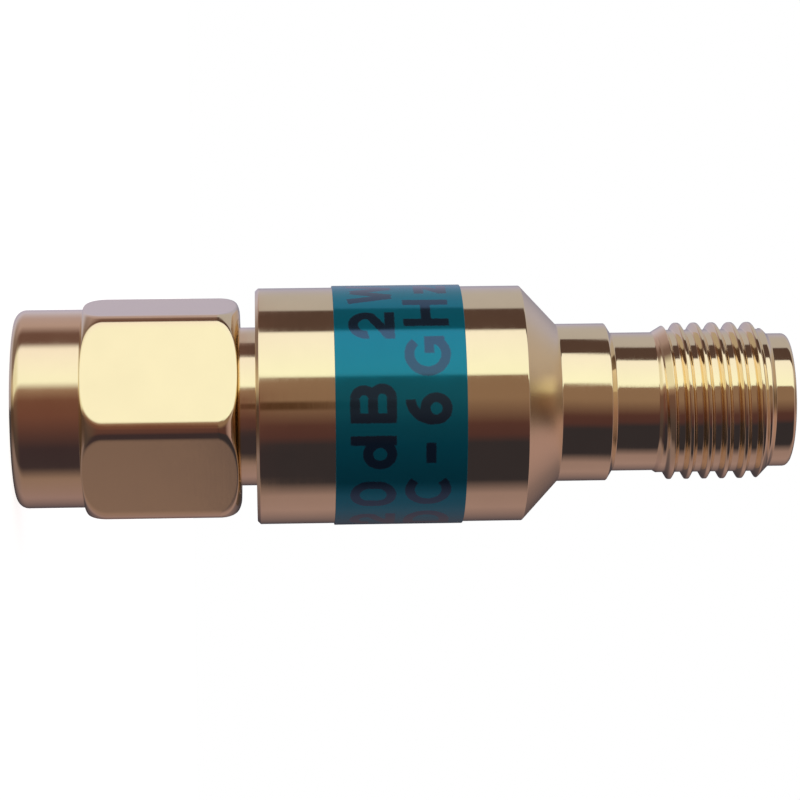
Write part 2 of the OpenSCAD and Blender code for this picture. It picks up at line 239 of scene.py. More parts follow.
# Room that keeps a ring off a long step's end and the nut's edges apart, and how close the same points lie
GUARD = 0.02 * MM
SAME_POINT = 1e-9

# Steps of a rounded corner, of the nut's rim and of the easing of its corners
ARC_STEPS = 6
RIM_STEPS = 12
EASE_STEPS = 44

# Columns of each piece, rows of the nut's thread, and how far the nut's columns crowd to its corners
NUT_COLUMNS = 288
SHELL_COLUMNS = 240
PLUG_COLUMNS = 160
GASKET_COLUMNS = 120
LABEL_COLUMNS = 481
NUT_THREAD_ROWS = 130
CROWDING = 0.7


def smooth_min(a, b, k):
    """The smaller of two values, with the crease between them rounded over a width k:
    min(a, b) less the square of max(k - |a - b|, 0) over 4 k"""
    return np.minimum(a, b) - np.maximum(k - np.abs(a - b), 0) ** 2 / (4 * k)


def rounded_outline(corners):
    """A closed outline with rounded corners. Each corner is (across, along, rounding). Its arc touches both
    edges, its centre lies on the bisector at rounding / sin(half the corner's angle), and its points turn
    evenly from one touching point to the other. A corner without rounding stays one point."""
    corners = np.array(corners, float)
    point = corners[:, :2]
    rounding = corners[:, 2:]
    back = np.roll(point, 1, axis=0) - point
    ahead = np.roll(point, -1, axis=0) - point
    back /= np.linalg.norm(back, axis=1, keepdims=True)
    ahead /= np.linalg.norm(ahead, axis=1, keepdims=True)
    half = np.arccos(np.clip(np.sum(back * ahead, axis=1, keepdims=True), -1, 1)) / 2
    bisector = back + ahead
    bisector /= np.linalg.norm(bisector, axis=1, keepdims=True)
    centre = point + bisector * rounding / np.sin(half)
    first = point + back * rounding / np.tan(half) - centre
    last = point + ahead * rounding / np.tan(half) - centre
    sweep = np.pi - 2 * half
    step = np.linspace(0, 1, ARC_STEPS + 1)[:, None, None]
    arc = centre + (np.sin((1 - step) * sweep) * first + np.sin(step * sweep) * last) / np.sin(sweep)
    outline = arc.transpose(1, 0, 2).reshape(-1, 2)
    apart = np.linalg.norm(outline - np.roll(outline, 1, axis=0), axis=1) > SAME_POINT
    return outline[apart]


def ellipse(centre, across, along, start, end, steps):
    """Points of an elliptical arc: centre + (across cos t, along sin t), t from start to end in degrees"""
    t = np.radians(np.linspace(start, end, steps + 1))
    return np.stack([centre[0] + across * np.cos(t), centre[1] + along * np.sin(t)], axis=1)


def add_rings(outline, longest, closed=True):
    """The outline with rings added, so that no step is longer than longest, and with one ring close to each
    end of a long step, which keeps the shading of its flat middle true"""
    ends = np.roll(outline, -1, axis=0)
    if not closed:
        ends = ends[:-1]
    parts = []
    for start, end in zip(outline, ends):
        length = np.linalg.norm(end - start)
        along = np.zeros(1)
        if length > 4 * GUARD:
            inner = np.linspace(GUARD, length - GUARD, int(np.ceil(length / longest)) + 1)
            along = np.concatenate([along, inner]) / length
        parts.append(start + along[:, None] * (end - start))
    if not closed:
        parts.append(outline[-1:])
    return np.concatenate(parts)


def turned(radius, height, angle):
    """Points of a turned surface: (radius cos angle, radius sin angle, height), rows by columns"""
    radius, height, angle = np.broadcast_arrays(radius, height, angle)
    return np.stack([radius * np.cos(angle), radius * np.sin(angle), height], axis=-1)


def full_turn(columns):
    """Angles of one turn, evenly spaced"""
    return np.linspace(0, 2 * np.pi, columns, endpoint=False)[None]


def thread_drop(height, angle, thread, depth):
    """How far a right-hand thread lies below its crests. Along the axis, the distance from the nearest
    crest's middle repeats with the pitch and advances by one pitch a turn. The drop is nought over the crest
    and falls along the flank to the depth, with both creases rounded"""
    turns = height / thread.pitch - angle / (2 * np.pi)
    off = np.abs(turns - np.round(turns)) * thread.pitch
    slope = (off - thread.crest / 2) / np.tan(thread.flank)
    return -smooth_min(-smooth_min(slope, depth, thread.softness), 0, thread.softness)


# Letters in units of their height: width, bars from point to point, and arcs as centre, radius and degrees
LETTERS = {
    " ": (0.42, (), ()),
    "-": (0.56, (((0.04, 0.45), (0.52, 0.45)),), ()),
    "0": (0.86, (((0.13, 0.4), (0.13, 0.6)), ((0.73, 0.4), (0.73, 0.6))),
          (((0.43, 0.6), 0.3, 0, 180), ((0.43, 0.4), 0.3, 180, 360))),
    "2": (0.84, (((0.66, 0.5), (0.13, 0.14)), ((0.03, 0.1), (0.81, 0.1))),
          (((0.42, 0.62), 0.28, -32, 190),)),
    "6": (0.84, (), (((0.42, 0.34), 0.24, 0, 360), ((0.66, 0.42), 0.48, 95, 182))),
    "B": (0.86, (((0.1, 0), (0.1, 1)), ((0.1, 0.9), (0.52, 0.9)), ((0.1, 0.51), (0.54, 0.51)),
                 ((0.1, 0.1), (0.54, 0.1))),
          (((0.52, 0.705), 0.195, -90, 90), ((0.54, 0.305), 0.205, -90, 90))),
    "C": (0.9, (), (((0.5, 0.5), 0.4, 48, 312),)),
    "D": (0.9, (((0.1, 0), (0.1, 1)), ((0.1, 0.9), (0.4, 0.9)), ((0.1, 0.1), (0.4, 0.1))),
          (((0.4, 0.5), 0.4, -90, 90),)),
    "G": (0.94, (((0.52, 0.46), (0.94, 0.46)), ((0.84, 0.12), (0.84, 0.46))),
          (((0.5, 0.5), 0.4, 42, 322),)),
    "H": (0.9, (((0.1, 0), (0.1, 1)), ((0.8, 0), (0.8, 1)), ((0.1, 0.5), (0.8, 0.5))), ()),
    "W": (1.16, (((0.1, 1), (0.32, 0.04)), ((0.32, 0.04), (0.58, 0.92)),
                 ((0.58, 0.92), (0.84, 0.04)), ((0.84, 0.04), (1.06, 1))), ()),
    "d": (0.8, (((0.7, 0), (0.7, 1)),), (((0.38, 0.36), 0.26, 0, 360),)),
    "z": (0.7, (((0.03, 0.61), (0.67, 0.61)), ((0.03, 0.1), (0.67, 0.1)), ((0.56, 0.56), (0.14, 0.15))), ()),
}


def bar_distance(u, v, start, end, stroke):
    """Signed distance from a straight stroke with square ends: the larger of those past side and end"""
    run = np.subtract(end, start)
    length = np.hypot(*run)
    du, dv = u - start[0], v - start[1]
    along = (du * run[0] + dv * run[1]) / length
    side = np.abs(dv * run[0] - du * run[1]) / length
    return np.maximum(side - stroke / 2, np.abs(along - length / 2) - length / 2)


def arc_distance(u, v, centre, radius, start, end, stroke):
    """Signed distance from a curved stroke: the larger of those past side and end"""
    du, dv = u - centre[0], v - centre[1]
    reach = np.hypot(du, dv)
    middle, half = np.radians(((start + end) / 2, (end - start) / 2))
    turned_by = np.abs((np.arctan2(dv, du) - middle + np.pi) % (2 * np.pi) - np.pi)
    past_end = (turned_by - half) * reach if half < np.pi else -np.inf
    return np.maximum(np.abs(reach - radius) - stroke / 2, past_end)


def line_distance(text, u, v, stroke, spacing):
    """Signed distance from a centred line of letters: the smallest of its strokes', below nought inside"""
    widths = np.array([LETTERS[letter][0] + spacing for letter in text])
    places = np.cumsum(widths) - widths - (widths.sum() - spacing) / 2
    distance = np.inf
    for letter, place in zip(text, places):
        for start, end in LETTERS[letter][1]:
            distance = np.minimum(distance, bar_distance(u - place, v, start, end, stroke))
        for centre, radius, start, end in LETTERS[letter][2]:
            distance = np.minimum(distance, arc_distance(u - place, v, centre, radius, start, end, stroke))
    return distance


def grid_object(name, points, wrap_rows=True, wrap_columns=True, caps=False):
    """An object whose faces are the quads between neighbours of a grid of points, joined end to end where it
    wraps. With caps, the first and the last column are each closed by one face."""
    rows, columns = points.shape[:2]
    index = np.arange(rows * columns).reshape(rows, columns)
    ring = np.concatenate([index, index[:1]]) if wrap_rows else index
    ring = np.concatenate([ring, ring[:, :1]], axis=1) if wrap_columns else ring
    quads = np.stack([ring[:-1, :-1], ring[:-1, 1:], ring[1:, 1:], ring[1:, :-1]], axis=-1).reshape(-1, 4)
    loops = quads.ravel()
    starts = np.arange(len(quads)) * 4
    if caps:
        starts = np.concatenate([starts, loops.size + np.array([0, rows])])
        loops = np.concatenate([loops, index[:, 0], index[::-1, -1]])
    mesh = bpy.data.meshes.new(name)
    mesh.vertices.add(rows * columns)
    mesh.vertices.foreach_set("co", points.astype(np.float32).ravel())
    mesh.loops.add(len(loops))
    mesh.loops.foreach_set("vertex_index", loops.astype(np.int32))
    mesh.polygons.add(len(starts))
    mesh.polygons.foreach_set("loop_start", starts.astype(np.int32))
    mesh.update(calc_edges=True)
    if mesh.validate():
        raise RuntimeError(f"{name}: the grid gave faces that are not valid")
    mesh.shade_smooth()
    piece = bpy.data.objects.new(name, mesh)
    bpy.context.scene.collection.objects.link(piece)
    return piece


def turned_object(name, outline, columns):
    """An object turned from a closed outline of (radius, height)"""
    return grid_object(name, turned(outline[:, :1], outline[:, 1:], full_turn(columns)))


def dress(piece, body, slot, material, *nodes):
    """The piece takes its finish, rides on a body and stands for the nodes that it replaces"""
    piece.data.materials.append(material)
    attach(piece, body)
    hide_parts(*nodes)


# Finishes

# Noise scales, in cells a metre: lathe rings and grain, handling haze, orange peel and the ink's wear
LATHE_SCALE = 9000
HAZE_SCALE = 700
PEEL_SCALE = 900
WEAR_SCALE = 6000

# Range in which most of a noise lies, and the part of it that shows as haze
NOISE_RANGE = (0.3, 0.7)
HAZE_RANGE = (0.35, 0.7)

# Height of the grain over that of the lathe rings
GRAIN = 0.4


def set_inputs(tree, node, inputs):
    """Sets the inputs of a node. An input that is given a socket is linked to it."""
    for name, value in dict(inputs).items():
        if isinstance(value, bpy.types.NodeSocket):
            tree.links.new(value, node.inputs[name])
        else:
            node.inputs[name].default_value = value


def add_node(tree, kind, inputs=(), **settings):
    """A new node with its options and inputs set"""
    node = tree.nodes.new(kind)
    for name, value in settings.items():
        setattr(node, name, value)
    set_inputs(tree, node, inputs)
    return node


def calc(tree, operation, *values):
    """The result of a Math node"""
    return add_node(tree, "ShaderNodeMath", enumerate(values), operation=operation).outputs[0]


def remap(tree, value, low, high, to_low, to_high):
    """A value carried from one range to another and kept inside it"""
    inputs = {"Value": value, "From Min": low, "From Max": high, "To Min": to_low, "To Max": to_high}
    return add_node(tree, "ShaderNodeMapRange", inputs).outputs[0]


def noise(tree, vector, scale, detail):
    """A noise over a vector, about 0.5 in the middle"""
    inputs = {"Vector": vector, "Scale": scale, "Detail": detail}
    return add_node(tree, "ShaderNodeTexNoise", inputs).outputs[0]


def mix_colour(tree, factor, first, second):
    """A colour between two, by a factor. The node's seventh and eighth inputs are its colours."""
    inputs = {0: factor, 6: first, 7: second}
    return add_node(tree, "ShaderNodeMix", inputs, data_type="RGBA").outputs[2]


def fade(tree, value, ends, first, second):
    """A colour that goes over from the first to the second while a value runs from one end to the other"""
    return mix_colour(tree, remap(tree, value, *ends, 0, 1), first, second)


def tint(tree, base, low, high, value):
    """The base colour made darker or lighter by a value from nought to one"""
    dark = tuple(channel * low for channel in base) + (1,)
    light = tuple(min(channel * high, 1) for channel in base) + (1,)
    return mix_colour(tree, value, dark, light)


def emboss(tree, height, relief):
    """The normal of a surface that stands out by relief where the height is one"""
    inputs = {"Strength": 1.0, "Distance": relief, "Height": height}
    return add_node(tree, "ShaderNodeBump", inputs).outputs[0]


def new_finish(name):
    """A material, its tree, its shader and the Object coordinates that its patterns read"""
    material = bpy.data.materials.new(name)
    material.use_nodes = True
    tree = material.node_tree
    point = add_node(tree, "ShaderNodeTexCoord").outputs["Object"]
    return material, tree, tree.nodes["Principled BSDF"], point


def lathe_vector(tree, point):
    """Coordinates in which a noise makes rings round the axis: the distance from the axis, and the height"""
    x, y, z = add_node(tree, "ShaderNodeSeparateXYZ", {0: point}).outputs
    square = calc(tree, "ADD", calc(tree, "MULTIPLY", x, x), calc(tree, "MULTIPLY", y, y))
    radius = calc(tree, "SQRT", square)
    return add_node(tree, "ShaderNodeCombineXYZ", {0: radius, 1: 0.0, 2: z}).outputs[0]


def turned_metal(name, base, roughness, lines, clouds, relief, satin=None):
    """Turned and plated metal: fine rings from the lathe, and a cloudy sheen from handling. lines and clouds
    say how much each adds to the roughness, and relief is the height of the rings. satin gives two heights
    and how much the roughness grows between them."""
    material, tree, shader, point = new_finish(name)
    rings = noise(tree, lathe_vector(tree, point), LATHE_SCALE, 3)
    haze = noise(tree, point, HAZE_SCALE, 4)
    grain = noise(tree, point, LATHE_SCALE, 2)
    ring_gloss = remap(tree, rings, *NOISE_RANGE, 0, lines)
    haze_gloss = remap(tree, haze, *HAZE_RANGE, 0, clouds)
    gloss = calc(tree, "ADD", calc(tree, "ADD", ring_gloss, haze_gloss), roughness)
    if satin:
        low, high, extra = satin
        z = add_node(tree, "ShaderNodeSeparateXYZ", {0: point}).outputs[2]
        inside = calc(tree, "MULTIPLY", calc(tree, "GREATER_THAN", z, low), calc(tree, "LESS_THAN", z, high))
        gloss = calc(tree, "ADD", gloss, calc(tree, "MULTIPLY", inside, extra))
    height = calc(tree, "ADD", rings, calc(tree, "MULTIPLY", grain, GRAIN))
    set_inputs(tree, shader, {
        "Base Color": tint(tree, base, 0.94, 1.03, haze),
        "Metallic": 1,
        "Roughness": gloss,
        "Normal": emboss(tree, height, relief),
    })
    return material


def plating(name, finish, roughness, clouds=0.03, relief=0.3 * MICRON, satin=None):
    """Polished gold plate"""
    return turned_metal(name, finish.plating, roughness, 0.02, clouds, relief, satin)


def mottled(name, base, roughness, spread, scale, relief, low=0.9, high=1.06, soak=None):
    """A moulded or fired material: its colour, roughness and fine relief follow one noise. soak says how much
    light goes in, and how deep."""
    material, tree, shader, point = new_finish(name)
    pattern = noise(tree, point, scale, 4)
    set_inputs(tree, shader, {
        "Base Color": tint(tree, base, low, high, pattern),
        "Roughness": remap(tree, pattern, *NOISE_RANGE, roughness, roughness + spread),
        "Normal": emboss(tree, pattern, relief),
    })
    if soak:
        weight, depth = soak
        set_inputs(tree, shader, {"Subsurface Weight": weight, "Subsurface Scale": depth})
    return material


# Operators


class ATTENUATOR_OT_nut(bpy.types.Operator):
    """Coupling nut: hexagon bar with a turned barrel, eased corners and an inner thread"""

    bl_idname = "attenuator.nut"
    bl_label = "Coupling nut"

    def execute(self, context):
        nut = context.scene.attenuator_nut
        thread = context.scene.attenuator_thread
        finish = context.scene.attenuator_finish
        root = thread.radius + thread.slack
        crest = root - thread.nut_depth
        angle = self.columns(nut)
        outside = add_rings(self.outside(nut, root), TURNED_STEP, closed=False)
        inside = add_rings(self.inside(nut, crest), TURNED_STEP, closed=False)
        hexagon = nut.flats / 2 / np.cos((angle - nut.hex_turn) % (np.pi / 3) - np.pi / 6)
        body = smooth_min(outside[:, :1], hexagon, nut.edge_round)
        bore = np.broadcast_to(inside[:, :1], (len(inside), angle.size))
        depth = np.linspace(nut.counterbore, 0, NUT_THREAD_ROWS)[1:, None]
        mouth = np.maximum(crest, root - depth)
        cut = root - thread_drop(depth, angle, thread, thread.nut_depth)
        rise = np.clip((nut.counterbore - thread.nut_relief - depth) / thread.nut_run_out, 0, 1)
        radius = np.concatenate([body, bore, np.maximum(mouth, crest + (cut - crest) * rise)])
        height = np.concatenate([outside[:, 1:], inside[:, 1:], depth])
        piece = grid_object("coupling_nut_turned", turned(radius, height, angle))
        material = plating("nut_plating_polished", finish, finish.nut_gloss, clouds=0.05, relief=0.4 * MICRON)
        dress(piece, NUT, "nut_plating", material, "coupling_nut")
        return {"FINISHED"}

    def columns(self, nut):
        """Angles of one turn that crowd towards the six corners: s less crowding sin(6 s) / 6"""
        even = full_turn(NUT_COLUMNS)
        return nut.hex_turn + even - CROWDING * np.sin(6 * even) / 6

    def outside(self, nut, root):
        """Outline from the mouth to the back of the bore: rim, barrel, and the eased ends of the corners"""
        rim = nut.barrel - nut.rim_round
        rise = nut.corner - nut.barrel
        front = nut.barrel_end + nut.front_ease
        rear = nut.length - nut.rear_ease
        return np.concatenate([
            [(root + GUARD, 0)],
            ellipse((rim, nut.rim_round), nut.rim_round, nut.rim_round, -90, 0, RIM_STEPS),
            ellipse((nut.barrel, front), rise, nut.front_ease, -90, 0, EASE_STEPS),
            ellipse((nut.corner - nut.rear_drop, rear), nut.rear_drop, nut.rear_ease, 0, 90, EASE_STEPS),
            [(nut.bore + nut.chamfer, nut.length)],
        ])

    def inside(self, nut, crest):
        """Outline from the back of the bore, round the snap ring's groove, to the step above the thread"""
        low = ring_low.z - nut.groove_side
        high = ring_high.z + nut.groove_side
        return np.array([
            (nut.bore, nut.length - nut.chamfer),
            (nut.bore, high),
            (nut.groove, high),
            (nut.groove, low),
            (nut.bore, low),
            (nut.bore, nut.counterbore + GUARD),
            (nut.bore - GUARD, nut.counterbore),
            (crest, nut.counterbore),
        ])


class ATTENUATOR_OT_shell(bpy.types.Operator):
    """Main shell: cylinder, cone, collar, relief, helical thread and nose, turned as one piece"""

    bl_idname = "attenuator.shell"
    bl_label = "Main shell"

    def execute(self, context):
        shell = context.scene.attenuator_shell
        thread = context.scene.attenuator_thread
        finish = context.scene.attenuator_finish
        soft = shell.edge_round
        start = shell_low.z
        top = shell_high.z
        corners = [
            (shell.cavity, start, shell.plug_round),
            (shell.radius - shell.chamfer, start, shell.plug_round),
            (shell.radius, start + shell.chamfer, shell.plug_round),
            (shell.radius, shell.shoulder, soft),
            (shell.collar, shell.collar_start, soft),
            (shell.collar, shell.collar_end, soft),
            (shell.relief, shell.relief_start, soft),
            (shell.relief, shell.relief_end, soft),
            (thread.radius, shell.thread_start, soft),
            (thread.radius, shell.thread_end, soft),
            (shell.nose, shell.nose_start, soft),
            (shell.nose, top, shell.nose_round),
            (shell.mouth, top, shell.mouth_round),
            (shell.mouth, jack_plane, 0),
            (shell.bore, jack_plane, shell.bore_round),
            (shell.bore, shell.flange_end, 0),
            (shell.flange_bore, shell.flange_end, 0),
            (shell.flange_bore, shell.shoulder, 0),
            (shell.cavity, shell.shoulder, 0),
        ]
        outline = add_rings(rounded_outline(corners), TURNED_STEP)
        outline = self.thread_rings(outline, shell)
        angle = full_turn(SHELL_COLUMNS)
        radius, height = outline[:, :1], outline[:, 1:]
        first_crest = shell.thread_start + thread.lead_in
        form = thread.radius - thread_drop(height - first_crest, angle - np.pi, thread, thread.depth)
        threaded = self.on_thread(outline, shell)[:, None]
        radius = np.where(threaded, smooth_min(radius, form, thread.blend), radius)
        piece = grid_object("main_shell_turned", turned(radius, height, angle))
        cone = (shell.shoulder, shell.collar_start, finish.cone_gloss - finish.plating_gloss)
        material = plating("shell_plating_polished", finish, finish.plating_gloss, satin=cone)
        dress(piece, ATTENUATOR, "shell_plating", material, "main_shell")
        return {"FINISHED"}

    def on_thread(self, outline, shell):
        """Which points of the outline lie on the outside, between the relief and the nose"""
        radius, height = outline.T
        middle_of_wall = (shell.mouth + shell.nose) / 2
        return (radius > middle_of_wall) & (height > shell.relief_end) & (height < shell.nose_start)

    def thread_rings(self, outline, shell):
        """The outline with its rings along the thread spaced finely and evenly, to carry the thread's form"""
        places = np.flatnonzero(self.on_thread(outline, shell))
        first, last = places[0], places[-1]
        radius, height = outline[first:last + 1].T
        even = np.arange(height[0], height[-1], THREAD_STEP)
        rings = np.stack([np.interp(even, height, radius), even], axis=1)
        return np.concatenate([outline[:first], rings, outline[last + 1:]])


class ATTENUATOR_OT_plug(bpy.types.Operator):
    """Plug shell and gasket: ferrule, neck with the ring groove, tail, and the soft ring round the ferrule"""

    bl_idname = "attenuator.plug"
    bl_label = "Plug shell and gasket"

    def execute(self, context):
        plug = context.scene.attenuator_plug
        finish = context.scene.attenuator_finish
        outline = add_rings(rounded_outline(self.shell_corners(plug)), TURNED_STEP)
        piece = turned_object("plug_shell_turned", outline, PLUG_COLUMNS)
        material = plating("plug_plating_polished", finish, finish.plating_gloss)
        dress(piece, ATTENUATOR, "plug_plating", material, "plug_shell")

        outline = add_rings(rounded_outline(self.gasket_corners(plug)), GASKET_STEP)
        piece = turned_object("gasket_moulded", outline, GASKET_COLUMNS)
        material = mottled(
            "silicone_rubber", finish.rubber, roughness=0.38, spread=0.15, scale=2500, relief=2 * MICRON,
            soak=(0.15, 0.2 * MM),
        )
        dress(piece, ATTENUATOR, "gasket_rubber", material, "gasket")
        return {"FINISHED"}

    def shell_corners(self, plug):
        """Corners of the plug shell, with their roundings"""
        low = plug_low.z
        tail_end = plug_high.z
        face = shell_low.z
        groove_low = ring_low.z - plug.groove_side
        groove_high = ring_high.z + plug.groove_side
        fine = plug.edge_round
        return [
            (plug.bore, low, fine),
            (plug.ferrule - plug.chamfer, low, fine),
            (plug.ferrule, low + plug.chamfer, fine),
            (plug.ferrule, plug.neck_start, 0),
            (plug.neck - plug.chamfer, plug.neck_start, fine),
            (plug.neck, plug.neck_start + plug.chamfer, fine),
            (plug.neck, groove_low, fine),
            (plug.groove, groove_low, fine),
            (plug.groove, groove_high, fine),
            (plug.neck, groove_high, fine),
            (plug.neck, face, 0),
            (plug.tail, face, 0),
            (plug.tail, tail_end, 0),
            (plug.flange_bore, tail_end, 0),
            (plug.flange_bore, plug.flange_start, 0),
            (plug.bore, plug.flange_start, 0),
        ]

    def gasket_corners(self, plug):
        """Corners of the gasket, with their roundings"""
        inner = plug.ferrule + plug.gasket_gap
        outer = gasket_high.x
        return [
            (inner, gasket_low.z, plug.gasket_round),
            (outer, gasket_low.z, plug.gasket_round),
            (outer, gasket_high.z, plug.edge_round),
            (inner, gasket_high.z, plug.edge_round),
        ]


class ATTENUATOR_OT_label(bpy.types.Operator):
    """Label: film wrapped round the cylinder with its seam at the back, and two lines of generic print"""

    bl_idname = "attenuator.label"
    bl_label = "Label"

    def execute(self, context):
        label = context.scene.attenuator_label
        finish = context.scene.attenuator_finish
        outer = -label_low.y
        inner = outer - label.film
        corners = [
            (inner, label_low.z, 0),
            (outer, label_low.z, label.edge_round),
            (outer, label_high.z, label.edge_round),
            (inner, label_high.z, 0),
        ]
        outline = add_rings(rounded_outline(corners), PRINT_STEP)
        half_seam = label.seam / 2 / inner
        angle = np.linspace(np.pi / 2 + half_seam, 5 * np.pi / 2 - half_seam, LABEL_COLUMNS)[None]
        points = turned(outline[:, :1], outline[:, 1:], angle)
        piece = grid_object("label_film_wrapped", points, wrap_columns=False, caps=True)
        distance = self.print_distance(label, outline, angle, outer)
        ink = piece.data.attributes.new("ink_distance", "FLOAT", "POINT")
        ink.data.foreach_set("value", (distance / MM).astype(np.float32).ravel())
        dress(piece, ATTENUATOR, "label_film", self.film(label, finish), "label_band")
        return {"FINISHED"}

    def print_distance(self, label, outline, angle, outer):
        """Signed distance of the film's outside from the print, at most a letter's height"""
        across = (3 * np.pi / 2 - angle) * outer / label.cap_height
        distance = label.cap_height
        for text, base in ((label.first_line, label.first_base), (label.second_line, label.second_base)):
            up = (base - outline[:, 1:]) / label.cap_height
            line = line_distance(text, across, up, label.stroke, label.spacing) * label.cap_height
            distance = np.minimum(distance, line)
        outside = outline[:, :1] > outer - label.film / 2
        return np.where(outside, distance, label.cap_height)

    def film(self, label, finish):
        """Glossy tinted film over a bright backing, with a faint orange peel. The print lies under the same
        gloss: where the distance from the letters' outline is below nought, the colour is the ink's."""
        material, tree, shader, point = new_finish("teal_film_printed")
        peel = noise(tree, point, PEEL_SCALE, 4)
        wear = label.wear / MM
        wander = remap(tree, noise(tree, point, WEAR_SCALE, 3), *NOISE_RANGE, -wear, wear)
        distance = add_node(tree, "ShaderNodeAttribute", attribute_name="ink_distance").outputs["Fac"]
        half_blur = label.blur / MM / 2
        inked = remap(tree, calc(tree, "ADD", distance, wander), -half_blur, half_blur, 1, 0)
        teal = tint(tree, finish.film, 0.93, 1.05, peel)
        set_inputs(tree, shader, {
            "Base Color": mix_colour(tree, inked, teal, tuple(finish.ink) + (1,)),
            "Metallic": remap(tree, inked, 0, 1, finish.film_metal, finish.ink_metal),
            "Roughness": remap(tree, peel, *NOISE_RANGE, 0.09, 0.14),
            "Specular IOR Level": 0,
            "Coat Weight": finish.film_coat,
            "Coat Roughness": 0.04,
            "Coat IOR": 1.45,
            "Normal": emboss(tree, peel, 0.4 * MICRON),
        })
        return material


class ATTENUATOR_OT_inner(bpy.types.Operator):
    """Finishes of the CAD nodes that stay: contacts, insulators, ring, carriers, chip and shims"""

    bl_idname = "attenuator.inner"
    bl_label = "Inner pieces"

    def execute(self, context):
        finish = context.scene.attenuator_finish
        contact = turned_metal(
            "contact_gold_plate", finish.contact, 0.12, lines=0.05, clouds=0.05, relief=0.3 * MICRON,
        )
        brass = turned_metal(
            "carrier_brass_turned", finish.brass, 0.22, lines=0.12, clouds=0.05, relief=MICRON,
        )
        bronze = turned_metal("ring_bronze", finish.bronze, 0.3, lines=0.08, clouds=0.08, relief=MICRON)
        foil = turned_metal("shim_foil", finish.foil, 0.3, lines=0.05, clouds=0.1, relief=MICRON)
        ptfe = mottled(
            "ptfe_machined", finish.insulator, roughness=0.42, spread=0.15, scale=3000, relief=1.5 * MICRON,
            low=0.97, high=1.03, soak=(0.3, 0.5 * MM),
        )
        ceramic = mottled(
            "alumina_fired", finish.ceramic, roughness=0.5, spread=0.2, scale=6000, relief=2 * MICRON,
        )
        finishes = {
            "plug_pin": contact, "jack_socket": contact, "snap_ring": bronze,
            "carrier_lower": brass, "carrier_upper": brass, "attenuator_chip": ceramic,
            "earth_shim_left": foil, "earth_shim_right": foil,
            "plug_front_insulator": ptfe, "plug_rear_insulator": ptfe,
            "jack_front_insulator": ptfe, "jack_rear_insulator": ptfe,
        }
        for name, material in finishes.items():
            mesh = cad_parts[name].data
            mesh.materials.clear()
            mesh.materials.append(material)
        return {"FINISHED"}


# Light cards round the axis, in degrees from the camera's side and positive upwards in the picture: from, to,
# and one colour or the colours at both ends. The first row lights what leans towards the jack, the second
# what leans towards the plug, and the third what leans far towards the plug.
SHELL_CARDS = (
    (-180, -168, (0.06, 0.05, 0.06)),
    (-122, -98, (0.34, 0.24, 0.25), (0.31, 0.22, 0.23)),
    (-80, -38, (0.034, 0.030, 0.040)),
    (-30, -19, (0.08, 0.037, 0.039), (0.09, 0.041, 0.039)),
    (5, 27.3, (0.26, 0.17, 0.122)),
    (28.3, 75.6, (1.04, 1.13, 0.98), (1.01, 1.02, 1.02)),
    (76.6, 105, (0.092, 0.058, 0.052), (0.088, 0.055, 0.050)),
    (106.5, 135, (0.48, 0.465, 0.50)),
    (155, 180, (0.46, 0.445, 0.58), (0.26, 0.25, 0.32)),
)
PLUG_CARDS = (
    (-180, -168, (0.06, 0.05, 0.06)),
    (-125, -88, (0.31, 0.215, 0.235), (0.28, 0.193, 0.176)),
    (-72, -46, (0.045, 0.032, 0.042), (0.045, 0.030, 0.040)),
    (-8, 10, (0.155, 0.066, 0.054), (0.168, 0.074, 0.056)),
    (22, 22.5, (0.31, 0.195, 0.146)),
    (31, 74, (1.04, 1.10, 0.98), (1.00, 0.97, 0.98)),
    (82, 98, (0.148, 0.081, 0.072)),
    (112, 130, (0.46, 0.345, 0.36), (0.46, 0.36, 0.40)),
    (150, 180, (0.55, 0.52, 0.68), (0.40, 0.37, 0.48)),
)
LOW_CARDS = (
    (-180, -168, (0.06, 0.05, 0.06)),
    (-125, -88, (0.24, 0.18, 0.19)),
    (-72, -46, (0.075, 0.055, 0.055)),
    (-8, 10, (0.14, 0.08, 0.065), (0.16, 0.09, 0.07)),
    (22, 22.5, (0.33, 0.22, 0.16)),
    (31, 74, (0.84, 0.84, 0.66), (0.82, 0.80, 0.66)),
    (90, 130, (0.20, 0.14, 0.13), (0.24, 0.18, 0.17)),
    (150, 180, (0.50, 0.46, 0.55), (0.40, 0.37, 0.44)),
)

# Light at the ends of the axis: above is the jack's end, with the crown in its middle, and below the plug's.
# The second tone of each is for the lower half of the picture.
ABOVE = (0.48, 0.41, 0.37, 1)
ABOVE_LOWER = (0.40, 0.27, 0.275, 1)
CROWN = (0.09, 0.06, 0.045, 1)
BELOW = (0.55, 0.45, 0.32, 1)
BELOW_LOWER = (0.09, 0.055, 0.045, 1)
WHITE = (1, 1, 1, 1)

# Where one light goes over to the next, by the share of the direction that runs along the axis
PLUG_TO_SHELL = (-0.010, -0.004)
TO_LOW = (-0.3, -0.7)
TO_ABOVE = (0.65, 0.88)
TO_CROWN = (0.955, 0.99)
TO_BELOW = (-0.9, -0.98)

# Where the two tones of an end meet, by the share of the direction that runs along X
ABOVE_SPLIT = (-0.25, 0.25)
BELOW_SPLIT = (-0.2, 0)

# How far the cards turn about the axis towards the jack's end, and where that begins and is full
LEAN = np.radians(4.5)
LEAN_RANGE = (0.112, 0.13)

# Dark gap between the cards in front: its colour, the turns from its middle over which it fades, and the
# same along the axis, towards the plug and towards the jack
GAP = (0.075, 0.038, 0.02, 1)
GAP_SIDE = np.radians((2.4, 5.4))
GAP_START = (-0.015, -0.008)
GAP_END = (0.0105, 0.058)


